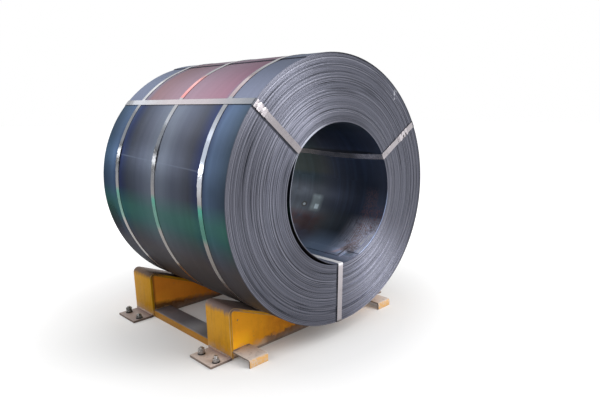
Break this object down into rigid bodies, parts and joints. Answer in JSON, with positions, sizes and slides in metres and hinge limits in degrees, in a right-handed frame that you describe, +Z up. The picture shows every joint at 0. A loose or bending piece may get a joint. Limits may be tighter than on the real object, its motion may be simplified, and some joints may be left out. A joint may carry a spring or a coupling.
{
  "type": "strapped steel coil on storage cradle",
  "caption": "Wound steel strip coil lying bore horizontal on a yellow V-seat cradle, held by circumferential and through-eye steel straps with crimped seals.",
  "frame": {"origin": "middle of the bottom of the whole object, on the floor", "axes": "+X along the coil's axis towards the front face with the brackets, +Z up, +Y to the right side seen from the front face's back"},
  "size_m": [1.0796, 1.1592, 1.2509],
  "materials": {
    "coil_steel": "oiled hot-rolled strip, blue-grey with brown and red-blue oxide tints",
    "strapping": "bright cold-rolled strapping",
    "yellow_paint": "worn yellow paint over steel, grey where rubbed",
    "worn_plate": "dirty steel plate with paint mostly worn off",
    "anchor_steel": "dark weathered fasteners"
  },
  "bodies": {
    "root": {"band_seal_1": "strapping", "band_seal_2": "strapping", "band_seal_3": "strapping", "band_strap_1": "strapping", "band_strap_2": "strapping", "band_strap_3": "strapping", "bracket_left": "worn_plate", "bracket_right": "worn_plate", "coil": "coil_steel", "eye_seal_1": "strapping", "eye_seal_2": "strapping", "eye_strap_1": "strapping", "eye_strap_2": "strapping", "eye_strap_3": "strapping", "front_foot_left": "worn_plate", "front_foot_right": "worn_plate", "front_seat_left": "yellow_paint", "front_seat_right": "yellow_paint", "front_web_back": "yellow_paint", "front_web_front": "yellow_paint", "locknut_front_left": "anchor_steel", "locknut_rear_left": "anchor_steel", "nut_front_left_1": "anchor_steel", "nut_front_left_2": "anchor_steel", "nut_front_right_1": "anchor_steel", "nut_front_right_2": "anchor_steel", "nut_rear_left_1": "anchor_steel", "nut_rear_left_2": "anchor_steel", "nut_rear_right_1": "anchor_steel", "nut_rear_right_2": "anchor_steel", "rear_foot_left": "worn_plate", "rear_foot_right": "worn_plate", "rear_seat_left": "yellow_paint", "rear_seat_right": "yellow_paint", "rear_web_back": "yellow_paint", "rear_web_front": "yellow_paint", "stud_front_left_1": "anchor_steel", "stud_front_left_2": "anchor_steel", "stud_front_right_1": "anchor_steel", "stud_front_right_2": "anchor_steel", "stud_rear_left_1": "anchor_steel", "stud_rear_left_2": "anchor_steel", "stud_rear_right_1": "anchor_steel", "stud_rear_right_2": "anchor_steel", "tie_left": "yellow_paint", "tie_right": "yellow_paint", "washer_front_left_1": "anchor_steel", "washer_front_left_2": "anchor_steel", "washer_front_right_1": "anchor_steel", "washer_front_right_2": "anchor_steel", "washer_rear_left_1": "anchor_steel", "washer_rear_left_2": "anchor_steel", "washer_rear_right_1": "anchor_steel", "washer_rear_right_2": "anchor_steel"}
  },
  "joints": []
}
